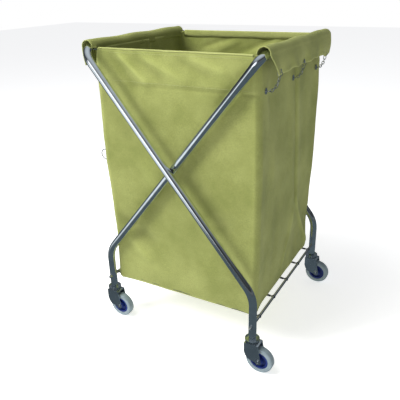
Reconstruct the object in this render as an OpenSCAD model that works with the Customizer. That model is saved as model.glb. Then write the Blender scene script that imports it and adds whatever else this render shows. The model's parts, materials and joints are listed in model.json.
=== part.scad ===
// Folding X-frame linen trolley, millimetres.
// Origin on the floor, midway between the four caster stems.
// +X to the right of the front face, +Y to the rear, +Z up.

/* [Frame] */
// Outside diameter of the frame tube
tube_d = 25; // [22:0.5:28]
// Wall thickness of the frame tube
tube_wall = 1.5; // [1.2:0.1:2]
// Half the spread of the legs and of the top bars, along X
half_span = 283; // [260:1:300]
// Height of the top bars' centre line
bar_z = 960; // [930:1:1000]
// Height at which the straight leg and the diagonal would meet
elbow_z = 267; // [255:1:280]
// Half the depth of the outer frame, at the tube's centre line
outer_y = 288; // [280:1:310]
// Centre-line radius of the elbow above each caster
elbow_r = 100; // [70:1:110]
// Centre-line radius of the inner frame's corners beside its top bar
corner_r = 38; // [34:1:42]
// Centre-line radius of the outer frame's corners beside its top bar
outer_corner_r = 54; // [44:1:55]

/* [Pivot] */
// Thickness of the washer between the crossing tubes
spacer_t = 3; // [2.5:0.1:4]
// Diameter of the pivot stud
stud_d = 8; // [6:0.5:8]
// Outside diameter of the spacer washer
spacer_d = 20; // [18:1:22]

/* [Tie rods and cords] */
// Height of the tie rods
rod_z = 163; // [160:1:170]
// Diameter of the tie rods
rod_d = 9; // [8:0.5:10]
// Diameter of the rods' threaded ends
rod_end_d = 6; // [5:0.5:6]
// Number of elastic cords under the bag
cord_count = 5; // [3:1:6]
// Spacing of the cords along Y
cord_pitch = 118; // [90:1:118]
// Diameter of an elastic cord
cord_d = 6; // [5:0.5:7]

/* [Casters] */
// Wheel diameter over the tyre
wheel_d = 89; // [85:1:92]
// Tread width
tyre_w = 24; // [22:0.5:26]
// Diameter of the hub under the tyre
hub_d = 60; // [56:1:64]
// Distance the axle trails behind the stem
trail = 28; // [24:1:30]
// Axle bolt diameter
axle_d = 8; // [6:0.5:8]
// Sheet thickness of the fork
fork_t = 3; // [2.5:0.1:3.2]
// Diameter of the swivel balls
ball_d = 7.5; // [6.5:0.1:7.5]
// Number of swivel balls in a caster
ball_count = 12; // [8:1:12]
// Outside diameter of the dished swivel race
cup_d = 46; // [44:1:48]

/* [Bag] */
// Thickness of the canvas
cloth_t = 2.5; // [2:0.1:3]
// Height of the bag's underside
bag_z = 168; // [168:1:190]
// Half the depth of the bag
bag_half_y = 240; // [230:1:241]
// Radius of the bag's upright corners
bag_corner_r = 20; // [16:1:24]
// Clear gap between a top bar and the fabric over it
bar_gap = 3.5; // [3:0.1:4]
// Half the length of a flap along Y
flap_half_y = 236; // [220:1:236]
// Height of a flap's lower edge
flap_low_z = 905; // [895:1:915]
// Height of the wire eyes on the side panels
loop_z = 862; // [850:1:870]
// Wire diameter of the chains and rings
wire_d = 2; // [1.6:0.1:2.2]

/* [Hidden] */
$fn = 48;

tube_r = tube_d/2;
bore_r = tube_r - tube_wall;
inner_y = outer_y - tube_d - spacer_t;
slip = 0.05;              // gap between fixed neighbours
run = 0.08;               // radial running clearance
through = 2;              // extra length of a cutting tool
lean = atan(2*half_span/(bar_z - elbow_z));
diagonal = sqrt(pow(2*half_span, 2) + pow(bar_z - elbow_z, 2));
pivot_z = (bar_z + elbow_z)/2;

// caster stack, from the floor up
wheel_r = wheel_d/2;
crown_z = 101;
cup_t = 2.2;
flange_t = 2;
cup_z = crown_z + fork_t + ball_d + 2*slip;
leg_end_z = cup_z + cup_t + flange_t;
stem_len = 32;
king_r = 5;
ball_ring_r = 15.5;
fork_half_y = tyre_w/2 + 4;
boss_half_y = fork_half_y - slip;

// bag
bag_half_x = half_span - tube_r - bar_gap;
bag_top_z = bar_z - 4;
flap_in_r = tube_r + bar_gap;
flap_x = half_span + flap_in_r;
eyelet_r = 3;
eyelet_z = flap_low_z + 7;
ring_r = 6.5;
loop_r = 6;
loop_base_t = 1.2;
hem_w = 22;

// chain ends along Y, flap end and panel end
flap_eye_y = [-185, 0, 210];
panel_eye_y = [-208, 4, 209];
link_count = 6;

steel = "silver";
zinc = "gainsboro";
canvas = "darkkhaki";

// ---------- frame tubes ----------

module tube_straight(len) {
    difference() {
        cylinder(r = tube_r, h = len);
        translate([0, 0, -through]) cylinder(r = bore_r, h = len + 2*through);
    }
}

// a bend that leaves the origin along +Z and turns towards +X
module tube_bend(angle, r) {
    translate([r, 0, 0]) rotate([90, 0, 180]) rotate_extrude(angle = angle)
        translate([r, 0]) difference() {
            circle(r = tube_r);
            circle(r = bore_r);
        }
}

module after_bend(angle, r) {
    translate([r*(1 - cos(angle)), 0, r*sin(angle)]) rotate([0, angle, 0]) children();
}

// one side of a frame: leg on the right, corner on the left, and the top bar if asked
module frame_side(y, bend_r, with_bar) {
    elbow_cut = elbow_r*tan(lean/2);
    leg_len = elbow_z - leg_end_z - elbow_cut;
    diagonal_len = diagonal - elbow_cut - bend_r;
    translate([half_span, -y, leg_end_z]) rotate([0, 0, 180]) {
        tube_straight(leg_len);
        translate([0, 0, leg_len]) {
            tube_bend(lean, elbow_r);
            after_bend(lean, elbow_r) {
                tube_straight(diagonal_len);
                translate([0, 0, diagonal_len]) rotate([0, 0, -90]) {
                    tube_bend(90, bend_r);
                    if (with_bar) after_bend(90, bend_r) tube_straight(2*(y - bend_r));
                }
            }
        }
    }
}

// a cutter along Y, centred on the origin
module drill_y(r, len) {
    rotate([90, 0, 0]) cylinder(r = r, h = len, center = true);
}

module frame_tube(y, bend_r) {
    union() {
        frame_side(y, bend_r, true);
        mirror([0, 1, 0]) frame_side(y, bend_r, false);
    }
}

module outer_tube() {
    // the stud goes through the bag-side wall only
    wall_y = outer_y - tube_r + tube_wall/2;
    color(steel) difference() {
        frame_tube(outer_y, outer_corner_r);
        for (s = [-1, 1]) {
            translate([0, s*wall_y, pivot_z]) drill_y(stud_d/2 + slip, 2*tube_wall + through);
            translate([half_span, s*outer_y, rod_z]) drill_y(rod_end_d/2 + slip, tube_d + through);
        }
    }
}

module inner_tube() {
    color(steel) mirror([1, 0, 0]) difference() {
        frame_tube(inner_y, corner_r);
        for (s = [-1, 1]) {
            translate([0, s*inner_y, pivot_z]) drill_y(stud_d/2 + run, tube_d + through);
            translate([half_span, s*inner_y, rod_z]) drill_y(rod_end_d/2 + slip, tube_d + through);
        }
    }
}

// ---------- pivot ----------

nut_h = 4;
nut_af = 13;

module pivot_studs() {
    // from just inside the outer tube to flush with the nut
    start_y = outer_y - bore_r + 1;
    end_y = inner_y - tube_r - nut_h;
    color(zinc) for (s = [-1, 1])
        translate([0, s*(start_y + end_y)/2, pivot_z]) drill_y(stud_d/2, start_y - end_y);
}

module pivot_nuts() {
    y = inner_y - tube_r - nut_h/2 - slip;
    color(zinc) for (s = [-1, 1]) translate([0, s*y, pivot_z]) rotate([90, 0, 0])
        difference() {
            cylinder(r = nut_af/2/cos(30), h = nut_h, center = true, $fn = 6);
            cylinder(r = stud_d/2 + slip, h = nut_h + through, center = true);
        }
}

module pivot_spacers() {
    y = (outer_y + inner_y)/2;
    color("dimgray") for (s = [-1, 1]) translate([0, s*y, pivot_z]) difference() {
        drill_y(spacer_d/2, spacer_t - 2*slip);
        drill_y(stud_d/2 + run, spacer_t + through);
    }
}

// ---------- tie rods ----------

rod_end_len = 9;

module tie_rod(y) {
    body_len = 2*(y - tube_r - slip);
    color(steel) translate([half_span, 0, rod_z]) union() {
        drill_y(rod_d/2, body_len);
        drill_y(rod_end_d/2, 2*(y + tube_r) + 2*rod_end_len - through);
    }
}

// cap nuts: a hexagon with a domed end and a blind bore
module rod_nuts(y) {
    hex_h = 6;
    dome_r = 4.9;
    hex_r = 5/cos(30);
    color(zinc) for (s = [-1, 1])
        translate([half_span, s*(y + tube_r + slip), rod_z]) rotate([-s*90, 0, 0])
            difference() {
                union() {
                    cylinder(r = hex_r, h = hex_h, $fn = 6);
                    translate([0, 0, hex_h]) intersection() {
                        sphere(r = dome_r);
                        cylinder(r = dome_r + 1, h = dome_r + 1);
                    }
                }
                translate([0, 0, -1]) cylinder(r = rod_end_d/2 + slip, h = rod_end_len + 1 - slip);
            }
}

module outer_tie_rod() { tie_rod(outer_y); }
module outer_rod_nuts() { rod_nuts(outer_y); }
module inner_tie_rod() { mirror([1, 0, 0]) tie_rod(inner_y); }
module inner_rod_nuts() { mirror([1, 0, 0]) rod_nuts(inner_y); }

// ---------- cords under the bag ----------

hook_r = rod_d/2 + wire_d/2 + slip;
hook_tail = 6;
cord_ys = [for (i = [0:cord_count - 1]) (i - (cord_count - 1)/2)*cord_pitch];

// a closed wire hook round the rod, with a socket for the cord's end
module cord_hooks() {
    color("dimgray") for (y = cord_ys) translate([half_span, y, rod_z]) union() {
        rotate([90, 0, 0]) rotate_extrude() translate([hook_r, 0]) circle(d = wire_d, $fn = 24);
        translate([-hook_r, 0, 0]) rotate([0, -90, 0]) cylinder(d = cord_d - 1, h = hook_tail);
    }
}

module outer_cord_hooks() { cord_hooks(); }
module inner_cord_hooks() { mirror([1, 0, 0]) cord_hooks(); }

module support_cords() {
    half = half_span - hook_r - hook_tail - 0.3;
    color("dimgray") for (y = cord_ys) translate([0, y, rod_z]) rotate([0, 90, 0])
        cylinder(d = cord_d, h = 2*half, center = true);
}

// ---------- casters ----------

module stem_and_king_pin() {
    head_h = 2.5;
    under = crown_z - slip - head_h;
    union() {
        translate([0, 0, cup_z + cup_t]) cylinder(r = bore_r - slip, h = flange_t + stem_len);
        translate([0, 0, cup_z + cup_t]) cylinder(r = tube_r, h = flange_t - slip);
        translate([0, 0, under]) cylinder(r = king_r, h = cup_z + cup_t - under);
        translate([0, 0, under]) cylinder(r = king_r + 4, h = head_h);
    }
}

module race_cup() {
    bore = king_r + slip;
    lip_t = 2;
    lip_h = 5.5;
    translate([0, 0, cup_z]) rotate_extrude() polygon([
        [bore, 0], [cup_d/2 - 1, 0], [cup_d/2, 1], [cup_d/2, lip_h], [cup_d/2 - lip_t, lip_h],
        [cup_d/2 - lip_t, cup_t - slip], [bore, cup_t - slip]
    ]);
}

module at_legs(y) {
    for (s = [-1, 1]) translate([half_span, s*y, 0]) children();
}

module outer_caster_stems() { color(steel) at_legs(outer_y) stem_and_king_pin(); }
module outer_race_cups() { color(steel) at_legs(outer_y) race_cup(); }
module inner_caster_stems() { color(steel) mirror([1, 0, 0]) at_legs(inner_y) stem_and_king_pin(); }
module inner_race_cups() { color(steel) mirror([1, 0, 0]) at_legs(inner_y) race_cup(); }

crown_back = 20;          // crown plate behind the stem
crown_front = 27;         // crown plate ahead of the stem, over the wheel
axle_eye_r = 10;

// side view of a fork leg: wide under the crown, an eye at the axle
module fork_leg_profile() {
    difference() {
        union() {
            polygon([
                [-crown_back, crown_z + fork_t], [-crown_back, crown_z - 30],
                [-crown_back + 4, crown_z - 42], [-crown_back + 12, wheel_r + 2],
                [trail - axle_eye_r + 1.5, wheel_r - 5], [trail + axle_eye_r - 0.5, wheel_r + 2],
                [trail + 1, crown_z - 12], [trail - 1, crown_z + fork_t]
            ]);
            translate([trail, wheel_r]) circle(r = axle_eye_r);
        }
        translate([trail, wheel_r]) circle(r = axle_d/2 + slip);
    }
}

module fork() {
    race_r = ball_ring_r + ball_d/2 + 0.5;
    color(steel) union() {
        difference() {
            union() {
                translate([-crown_back, -fork_half_y - fork_t, crown_z])
                    cube([crown_back + crown_front, 2*(fork_half_y + fork_t), fork_t]);
                translate([0, 0, crown_z + 1]) cylinder(r = race_r + 2, h = fork_t + 3);
            }
            translate([0, 0, crown_z + fork_t]) cylinder(r = race_r, h = ball_d);
            translate([0, 0, crown_z - through]) cylinder(r = king_r + run, h = 4*through + fork_t);
        }
        for (s = [0, 1]) mirror([0, s, 0])
            translate([0, fork_half_y + fork_t, 0]) rotate([90, 0, 0])
                linear_extrude(fork_t) fork_leg_profile();
    }
}

module bearing_balls() {
    color(zinc) for (i = [0:ball_count - 1]) rotate([0, 0, i*360/ball_count])
        translate([ball_ring_r, 0, crown_z + fork_t + slip + ball_d/2]) sphere(d = ball_d, $fn = 24);
}

bolt_head_h = 4.5;
bolt_head_r = 6.5;

module at_axle() {
    translate([trail, 0, wheel_r]) children();
}

module axle_bolt() {
    half = fork_half_y + fork_t;
    shank = 2*half + nut_h + 3;
    color(zinc) at_axle() union() {
        translate([0, -half - 1, 0]) rotate([-90, 0, 0]) cylinder(r = axle_d/2, h = shank);
        translate([0, -half - slip - bolt_head_h/2, 0]) difference() {
            drill_y(bolt_head_r, bolt_head_h);
            translate([0, -bolt_head_h/2, 0]) drill_y(2.5, 4);
        }
    }
}

module axle_nut() {
    y = fork_half_y + fork_t + slip + nut_h/2;
    color(zinc) at_axle() translate([0, y, 0]) rotate([90, 0, 0]) difference() {
        cylinder(r = nut_af/2/cos(30), h = nut_h, center = true, $fn = 6);
        cylinder(r = axle_d/2 + slip, h = nut_h + through, center = true);
    }
}

bush_r = 6;

module axle_bush() {
    color(zinc) at_axle() difference() {
        drill_y(bush_r, 2*boss_half_y);
        drill_y(axle_d/2 + slip, 2*boss_half_y + through);
    }
}

// half section of the hub: boss, thin web, rim with two low flanges
module hub() {
    web = 3;
    rim = hub_d/2 - 6;
    boss_r = 12;
    end_y = boss_half_y - 0.5;
    color("midnightblue") at_axle() rotate([90, 0, 0]) rotate_extrude() polygon([
        [bush_r + run, -end_y], [boss_r - 2, -end_y], [boss_r, -end_y + 2],
        [boss_r + 1, -web], [rim - 1, -web], [rim, -tyre_w/2 + 1.5], [hub_d/2, -tyre_w/2 + 1.5],
        [hub_d/2, tyre_w/2 - 1.5], [rim, tyre_w/2 - 1.5], [rim - 1, web], [boss_r + 1, web],
        [boss_r, end_y - 2], [boss_r - 2, end_y], [bush_r + run, end_y]
    ]);
}

// rounded tread with a softer shoulder at each edge
module tyre() {
    in_r = hub_d/2 + slip;
    w = tyre_w/2;
    shoulder = 5;
    arc = [for (a = [0:15:90]) a];
    color("lightslategray") at_axle() rotate([90, 0, 0]) rotate_extrude($fn = 96) polygon(concat(
        [[in_r, -w + 1.5], [in_r + 1.5, -w]],
        [for (a = arc) [wheel_r - shoulder + shoulder*sin(a), -w + shoulder - shoulder*cos(a)]],
        [for (a = arc) [wheel_r - shoulder + shoulder*cos(a), w - shoulder + shoulder*sin(a)]],
        [[in_r + 1.5, w], [in_r, w - 1.5]]
    ));
}

module at_fr() { translate([half_span, -outer_y, 0]) children(); }
module at_rr() { translate([half_span, outer_y, 0]) children(); }
module at_fl() { translate([-half_span, -inner_y, 0]) children(); }
module at_rl() { translate([-half_span, inner_y, 0]) children(); }

// ---------- bag ----------

// plan of the bag, rounded at the corners, inset from the outside by the given amount
function bag_plan(inset) =
    let (r = bag_corner_r - inset, x = bag_half_x - bag_corner_r, y = bag_half_y - bag_corner_r)
    [for (q = [[1, 1, 0], [-1, 1, 90], [-1, -1, 180], [1, -1, 270]]) for (a = [0:15:90])
        [q[0]*x + r*cos(q[2] + a), q[1]*y + r*sin(q[2] + a)]];

module eye_holes(x, ys, z) {
    for (y = ys) translate([x, y, z]) rotate([0, 90, 0])
        cylinder(r = eyelet_r + slip, h = 6*through, center = true);
}

loop_pin_r = 1.5;

module bag_body() {
    color(canvas) difference() {
        translate([0, 0, bag_z]) linear_extrude(bag_top_z - bag_z) polygon(bag_plan(0));
        translate([0, 0, bag_z + cloth_t]) linear_extrude(bag_top_z - bag_z)
            polygon(bag_plan(cloth_t));
        for (s = [-1, 1]) for (y = panel_eye_y) translate([s*bag_half_x, y, loop_z])
            rotate([0, 90, 0]) cylinder(r = loop_pin_r + slip, h = 4*cloth_t, center = true);
    }
}

// stiff board that lies in the bottom of the bag
module bag_base() {
    board_t = 4;
    margin = 6;
    color("olivedrab") translate([0, 0, bag_z + cloth_t + slip]) linear_extrude(board_t)
        polygon(bag_plan(cloth_t + margin));
}

// turned hems inside the front and rear edges
module top_hems() {
    len = 2*(bag_half_x - bag_corner_r) - 2;
    y = bag_half_y - cloth_t - slip - cloth_t/2;
    color(canvas) for (s = [-1, 1]) translate([0, s*y, bag_top_z - hem_w/2])
        cube([len, cloth_t, hem_w], center = true);
}

// flap on the right: up from the side panel, over the bar and down outside
module flap() {
    join_z = bag_top_z + slip;
    difference() {
        union() {
            translate([half_span, 0, bar_z]) rotate([90, 0, 0])
                linear_extrude(2*flap_half_y, center = true) intersection() {
                    difference() {
                        circle(r = flap_in_r + cloth_t);
                        circle(r = flap_in_r);
                    }
                    translate([-2*flap_x, 0]) square([4*flap_x, flap_x]);
                }
            translate([flap_x, -flap_half_y, flap_low_z])
                cube([cloth_t, 2*flap_half_y, bar_z - flap_low_z]);
            translate([bag_half_x - cloth_t, -flap_half_y, join_z])
                cube([cloth_t, 2*flap_half_y, bar_z - join_z]);
        }
        eye_holes(flap_x + cloth_t/2, flap_eye_y, eyelet_z);
    }
}

module right_flap() { color(canvas) flap(); }
module left_flap() { color(canvas) mirror([1, 0, 0]) flap(); }

module both_sides() {
    children();
    mirror([1, 0, 0]) children();
}

// rolled eyelet: a barrel with a flange on each face of the cloth
module eyelet() {
    flange_r = eyelet_r + 3;
    barrel = eyelet_r - 0.8;
    half = cloth_t/2 + slip;
    rotate([0, 90, 0]) rotate_extrude() polygon([
        [barrel, -half - 0.8], [flange_r, -half - 0.8], [flange_r, -half], [eyelet_r, -half],
        [eyelet_r, half], [flange_r, half], [flange_r, half + 0.8], [barrel, half + 0.8]
    ]);
}

module flap_eyelets() {
    color(zinc) both_sides() for (y = flap_eye_y)
        translate([flap_x + cloth_t/2, y, eyelet_z]) eyelet();
}

module flap_rings() {
    color(zinc) both_sides() for (y = flap_eye_y)
        translate([flap_x + cloth_t/2, y, eyelet_z - ring_r]) rotate([90, 0, 0])
            rotate_extrude() translate([ring_r, 0]) circle(d = wire_d, $fn = 24);
}

// one round chain link in the XZ plane, sized to hook its neighbours
module chain_link(pitch) {
    link_r = pitch/2 + wire_d/2 + 0.2;
    rotate([90, 0, 0]) rotate_extrude() translate([link_r, 0]) circle(d = wire_d, $fn = 24);
}

// links between two points: the first hooks a wire along X, the last a wire along Y,
// and each is turned about a quarter from the one before
module chain(from, to) {
    span = to - from;
    len = norm(span);
    pitch = len/link_count;
    tilt = acos(span[2]/len);
    turn = atan2(span[1], span[0]);
    first = atan2(-cos(turn)*cos(tilt), -sin(turn));
    last = atan2(-sin(turn)*cos(tilt), cos(turn));
    gaps = link_count - 1;
    half_turns = round((90*gaps - last + first)/180);
    step = (last - first + 180*half_turns)/gaps;
    translate(from) rotate([0, tilt, turn]) for (i = [0:gaps])
        translate([0, 0, (i + 0.5)*pitch]) rotate([0, 0, first + i*step]) chain_link(pitch);
}

module chains() {
    slack = wire_d/2 + 0.6;
    for (i = [0:len(flap_eye_y) - 1]) {
        top = [flap_x + cloth_t/2, flap_eye_y[i], eyelet_z - 2*ring_r];
        eye = [bag_half_x + loop_base_t/2 + loop_r, panel_eye_y[i], loop_z];
        dir = (eye - top)/norm(eye - top);
        chain(top - slack*dir, eye + slack*dir);
    }
}

module right_chains() { color(zinc) chains(); }
module left_chains() { color(zinc) mirror([1, 0, 0]) chains(); }

// riveted wire eye: base disc, arch across Y, pin and inner washer
module panel_loop() {
    base_r = 8.5;
    inner_washer_t = 1;
    pin_len = cloth_t + 2*slip + inner_washer_t;
    union() {
        translate([slip, 0, 0]) rotate([0, 90, 0]) cylinder(r = base_r, h = loop_base_t);
        translate([loop_base_t/2, 0, 0]) rotate([0, 0, -90])
            rotate_extrude(angle = 180) translate([loop_r, 0]) circle(d = wire_d, $fn = 24);
        translate([-pin_len + slip, 0, 0]) rotate([0, 90, 0]) cylinder(r = loop_pin_r, h = pin_len);
        translate([-cloth_t - slip - inner_washer_t, 0, 0]) rotate([0, 90, 0])
            cylinder(r = base_r - 2, h = inner_washer_t);
    }
}

module panel_loops() {
    color(zinc) both_sides() for (y = panel_eye_y)
        translate([bag_half_x, y, loop_z]) panel_loop();
}

side_ring_r = 17;
ring_wire = 3;
ring_y = -214;
ring_z = 608;
tab_bore_r = 2.9;
tab_r = tab_bore_r + 1.2;
ring_x = -bag_half_x - tab_r - slip;

// wire ring that stands out from a sewn tab on the left panel
module side_ring() {
    color(zinc) translate([ring_x - side_ring_r, ring_y, ring_z]) rotate([90, 0, 0])
        rotate_extrude() translate([side_ring_r, 0]) circle(d = ring_wire, $fn = 24);
}

module side_ring_tab() {
    tab_h = 11;
    len = 26;
    patch_t = tab_r - tab_bore_r + 0.6;
    color(canvas) translate([ring_x, ring_y, ring_z]) difference() {
        union() {
            cylinder(r = tab_r, h = tab_h, center = true);
            translate([tab_r - patch_t, 0, -tab_h/2]) cube([patch_t, len, tab_h]);
        }
        cylinder(r = tab_bore_r, h = tab_h + through, center = true);
    }
}

// ---------- assembly ----------

outer_tube();
outer_tie_rod();
outer_rod_nuts();
pivot_studs();
pivot_nuts();
outer_caster_stems();
outer_race_cups();
outer_cord_hooks();
inner_tube();
inner_tie_rod();
inner_rod_nuts();
inner_caster_stems();
inner_race_cups();
inner_cord_hooks();
pivot_spacers();
support_cords();
bag_body();
bag_base();
top_hems();
left_flap();
right_flap();
flap_eyelets();
flap_rings();
left_chains();
right_chains();
panel_loops();
side_ring();
side_ring_tab();
at_fr() fork();  // fork_fr
at_rr() fork();  // fork_rr
at_fl() fork();  // fork_fl
at_rl() fork();  // fork_rl
at_fr() bearing_balls();  // bearing_balls_fr
at_rr() bearing_balls();  // bearing_balls_rr
at_fl() bearing_balls();  // bearing_balls_fl
at_rl() bearing_balls();  // bearing_balls_rl
at_fr() axle_bolt();  // axle_bolt_fr
at_rr() axle_bolt();  // axle_bolt_rr
at_fl() axle_bolt();  // axle_bolt_fl
at_rl() axle_bolt();  // axle_bolt_rl
at_fr() axle_nut();  // axle_nut_fr
at_rr() axle_nut();  // axle_nut_rr
at_fl() axle_nut();  // axle_nut_fl
at_rl() axle_nut();  // axle_nut_rl
at_fr() axle_bush();  // axle_bush_fr
at_rr() axle_bush();  // axle_bush_rr
at_fl() axle_bush();  // axle_bush_fl
at_rl() axle_bush();  // axle_bush_rl
at_fr() hub();  // hub_fr
at_rr() hub();  // hub_rr
at_fl() hub();  // hub_fl
at_rl() hub();  // hub_rl
at_fr() tyre();  // tyre_fr
at_rr() tyre();  // tyre_rr
at_fl() tyre();  // tyre_fl
at_rl() tyre();  // tyre_rl
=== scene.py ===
import functools
import json
import math

import bpy
import numpy as np
from mathutils import Matrix, Vector, noise


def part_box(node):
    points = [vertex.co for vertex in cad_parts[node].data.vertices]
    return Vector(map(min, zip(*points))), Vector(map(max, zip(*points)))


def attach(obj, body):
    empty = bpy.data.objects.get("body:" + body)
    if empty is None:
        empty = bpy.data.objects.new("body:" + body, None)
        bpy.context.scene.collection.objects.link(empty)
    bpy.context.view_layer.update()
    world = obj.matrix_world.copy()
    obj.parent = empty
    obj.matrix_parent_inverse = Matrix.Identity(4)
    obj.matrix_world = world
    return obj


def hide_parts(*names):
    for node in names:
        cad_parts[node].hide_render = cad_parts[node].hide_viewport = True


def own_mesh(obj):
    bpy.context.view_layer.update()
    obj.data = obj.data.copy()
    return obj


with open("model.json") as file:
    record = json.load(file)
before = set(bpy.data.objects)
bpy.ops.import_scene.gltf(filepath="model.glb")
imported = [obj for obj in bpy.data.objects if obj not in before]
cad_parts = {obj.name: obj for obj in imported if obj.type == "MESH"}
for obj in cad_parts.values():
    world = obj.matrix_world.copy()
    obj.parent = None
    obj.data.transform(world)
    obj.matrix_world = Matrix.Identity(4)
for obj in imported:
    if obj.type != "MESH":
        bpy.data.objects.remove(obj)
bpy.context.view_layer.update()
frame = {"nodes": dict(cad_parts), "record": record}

# ---------------------------------------------------------------- dimensions
# metres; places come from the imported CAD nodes, and only cloth and wire sizes are set here

TUBE_R = 0.0125
BAR_X = -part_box("outer_tube")[0].x - TUBE_R
BAR_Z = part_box("outer_tube")[1].z - TUBE_R

BAG_LOW, BAG_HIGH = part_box("bag_body")
HALF_X = BAG_HIGH.x
HALF_Y = BAG_HIGH.y
BAG_Z = BAG_LOW.z
TOP_Z = BAG_HIGH.z
CORNER_R = 0.020
CLOTH_T = 0.0018

def middle(node_name):
    """Centre of a CAD node's box."""
    low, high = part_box(node_name)
    return (low + high) / 2


FLAP_LOW_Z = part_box("right_flap")[0].z
ROD_Z = middle("support_cords").z



def narrow(piece):
    """Gives the piece a mesh of its own."""
    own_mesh(piece)


def shift(piece):
    """Gives the piece a mesh of its own."""
    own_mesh(piece)


def put_on_bag(piece, side=0, cad_name=None):
    """The piece rides on the bag with a mesh of its own, for a side of the trolley (-1 left, 1
    right) or for side 0 alike. It takes the place of a CAD node if one is named."""
    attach(piece, "bag")
    if side:
        shift(piece)
    else:
        narrow(piece)
    if cad_name:
        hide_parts(cad_name)


# ---------------------------------------------------------------- materials


def new_material(name, color, metallic=0.0, roughness=0.5):
    mat = bpy.data.materials.new(name)
    mat.use_nodes = True
    tree = mat.node_tree
    bsdf = tree.nodes["Principled BSDF"]
    bsdf.inputs["Base Color"].default_value = (*color, 1)
    bsdf.inputs["Metallic"].default_value = metallic
    bsdf.inputs["Roughness"].default_value = roughness
    return mat, tree, bsdf


def node(tree, kind, **values):
    """Adds a shader node; values set its properties or, by name, its inputs."""
    n = tree.nodes.new(kind)
    for key, value in values.items():
        label = key.replace("_", " ").title()
        if hasattr(n, key):
            setattr(n, key, value)
        else:
            n.inputs[label].default_value = value
    return n


def noise_node(tree, coords, scale, detail=3.0, roughness=0.55):
    n = node(tree, "ShaderNodeTexNoise", scale=scale, detail=detail, roughness=roughness)
    tree.links.new(coords, n.inputs["Vector"])
    return n.outputs["Fac"]


def ramp(tree, fac, low, high, start=0.3, end=0.7):
    n = node(tree, "ShaderNodeValToRGB")
    first, last = n.color_ramp.elements
    first.position, last.position = start, end
    first.color, last.color = (*low, 1), (*high, 1)
    tree.links.new(fac, n.inputs["Fac"])
    return n.outputs["Color"]


def math_node(tree, operation, a, b=None):
    n = node(tree, "ShaderNodeMath", operation=operation)
    for socket, value in zip(n.inputs, (a, b)):
        if value is None:
            continue
        if hasattr(value, "is_linked"):
            tree.links.new(value, socket)
        else:
            socket.default_value = value
    return n.outputs[0]


def mix_color(tree, fac, a, b, blend="MIX"):
    n = tree.nodes.new("ShaderNodeMix")
    n.data_type = "RGBA"
    n.blend_type = blend
    for socket, value in ((n.inputs[0], fac), (n.inputs[6], a), (n.inputs[7], b)):
        if hasattr(value, "is_linked"):
            tree.links.new(value, socket)
        else:
            socket.default_value = (*value, 1) if isinstance(value, tuple) else value
    return n.outputs[2]


def bump(tree, bsdf, height, strength, distance):
    n = node(tree, "ShaderNodeBump", strength=strength, distance=distance)
    tree.links.new(height, n.inputs["Height"])
    tree.links.new(n.outputs["Normal"], bsdf.inputs["Normal"])


def object_coords(tree):
    return tree.nodes.new("ShaderNodeTexCoord").outputs["Object"]


def split_xyz(tree, vector):
    n = node(tree, "ShaderNodeSeparateXYZ")
    tree.links.new(vector, n.inputs[0])
    return n


def rough_by_noise(tree, bsdf, noise_out, share, least):
    """Roughness from a least value, plus a share of a noise."""
    rough = math_node(tree, "ADD", math_node(tree, "MULTIPLY", noise_out, share), least)
    tree.links.new(rough, bsdf.inputs["Roughness"])


def edge_wear(tree, color, light, share):
    """Paler where the surface turns sharply outwards, as on a rubbed fold."""
    point = node(tree, "ShaderNodeNewGeometry").outputs["Pointiness"]
    fac = ramp(tree, point, (0, 0, 0), (share, share, share), 0.51, 0.58)
    return mix_color(tree, fac, color, light)


WEAVE_PITCH = 0.0016
BRAID_PITCH = 0.003


def canvas_material(name, dark, light):
    """Plain-weave coated canvas: two thread directions, slubs, soft mottling, rubbed edges, and
    painted shade and highlight from a relief attribute.
    """
    mat, tree, bsdf = new_material(name, light, roughness=0.82)
    coords = object_coords(tree)
    split = split_xyz(tree, coords)
    along = math_node(tree, "ADD", split.outputs["X"], split.outputs["Y"])
    turns = 2 * math.pi / WEAVE_PITCH
    weft = math_node(tree, "SINE", math_node(tree, "MULTIPLY", along, turns))
    warp = math_node(tree, "SINE", math_node(tree, "MULTIPLY", split.outputs["Z"], turns))
    weave = math_node(tree, "MULTIPLY", weft, warp)
    slub = noise_node(tree, coords, 420.0, 2.0)
    cloud = noise_node(tree, coords, 7.0, 5.0, 0.6)
    patch = ramp(tree, cloud, dark, light, 0.36, 0.64)
    thread_tone = ramp(tree, slub, (0.80, 0.80, 0.78), (1.12, 1.12, 1.10), 0.25, 0.75)
    color = mix_color(tree, 1.0, patch, thread_tone, "MULTIPLY")
    # painted shade in the walls' grooves and painted highlight on their ridges, read from the
    # relief's shade attribute
    painted_relief_light = node(tree, "ShaderNodeAttribute", attribute_name="shade").outputs["Fac"]
    gain = math_node(tree, "ADD", painted_relief_light, 1.0)
    tint = tree.nodes.new("ShaderNodeCombineColor")
    for socket in tint.inputs[:3]:
        tree.links.new(gain, socket)
    color = mix_color(tree, 1.0, color, tint.outputs[0], "MULTIPLY")
    rubbed = tuple(min(1.0, 1.45 * c + 0.03) for c in light)
    tree.links.new(edge_wear(tree, color, rubbed, 0.45), bsdf.inputs["Base Color"])
    height = math_node(tree, "ADD", math_node(tree, "MULTIPLY", weave, 0.5), slub)
    bump(tree, bsdf, height, 0.35, 0.0005)
    bsdf.inputs["Sheen Weight"].default_value = 0.05
    bsdf.inputs["Specular IOR Level"].default_value = 0.25
    return mat


def chrome_material(name, tint, roughness, smear):
    """Polished plating with faint wipe marks and a little waviness."""
    mat, tree, bsdf = new_material(name, tint, metallic=1.0, roughness=roughness)
    coords = object_coords(tree)
    marks = noise_node(tree, coords, 26.0, 4.0, 0.6)
    rough_by_noise(tree, bsdf, marks, smear, roughness)
    dull = tuple(0.86 * c for c in tint)
    tree.links.new(ramp(tree, marks, dull, tint, 0.35, 0.65), bsdf.inputs["Base Color"])
    bump(tree, bsdf, noise_node(tree, coords, 55.0, 2.0), 0.05, 0.001)
    return mat


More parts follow.
